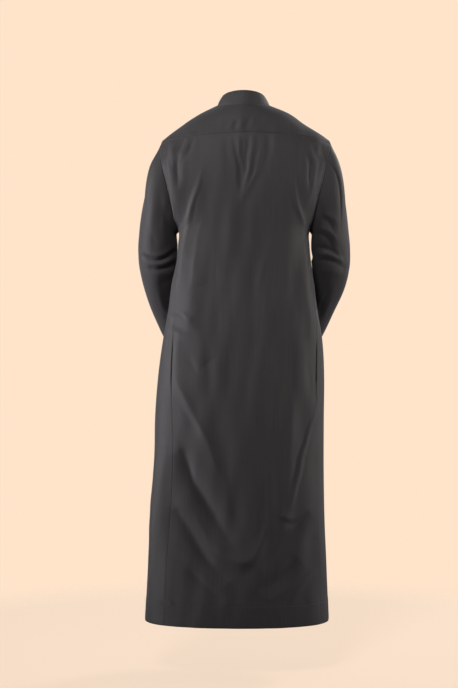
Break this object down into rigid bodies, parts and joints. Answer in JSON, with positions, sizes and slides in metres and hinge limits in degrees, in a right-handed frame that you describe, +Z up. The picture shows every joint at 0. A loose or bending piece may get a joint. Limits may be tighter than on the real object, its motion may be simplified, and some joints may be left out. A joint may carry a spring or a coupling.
{
  "type": "thobe",
  "caption": "Ankle-length black robe with a stand collar, back yoke, long set-in sleeves and a buttoned chest placket, worn shape with both arms forward.",
  "frame": {"origin": "middle of the neck opening, at the height where the shoulders meet the collar", "axes": "+Z up along the garment, -Y out of its front, +X to the wearer's left"},
  "size_m": [0.5954, 0.3676, 1.4732],
  "materials": {
    "cloth": "smooth black polyester suiting, fine twill, soft sheen",
    "pocketing": "plain black pocketing",
    "buttons": "polished black shirt buttons"
  },
  "bodies": {
    "root": {"back_panel": "cloth", "back_yoke": "cloth", "front_panel": "cloth", "collar_band": "cloth", "sleeve_left": "cloth", "sleeve_right": "cloth", "placket": "cloth", "button_collar": "buttons", "button_placket_1": "buttons", "button_placket_2": "buttons", "button_placket_3": "buttons", "button_placket_4": "buttons", "pocket_left": "pocketing", "pocket_right": "pocketing"}
  },
  "joints": []
}
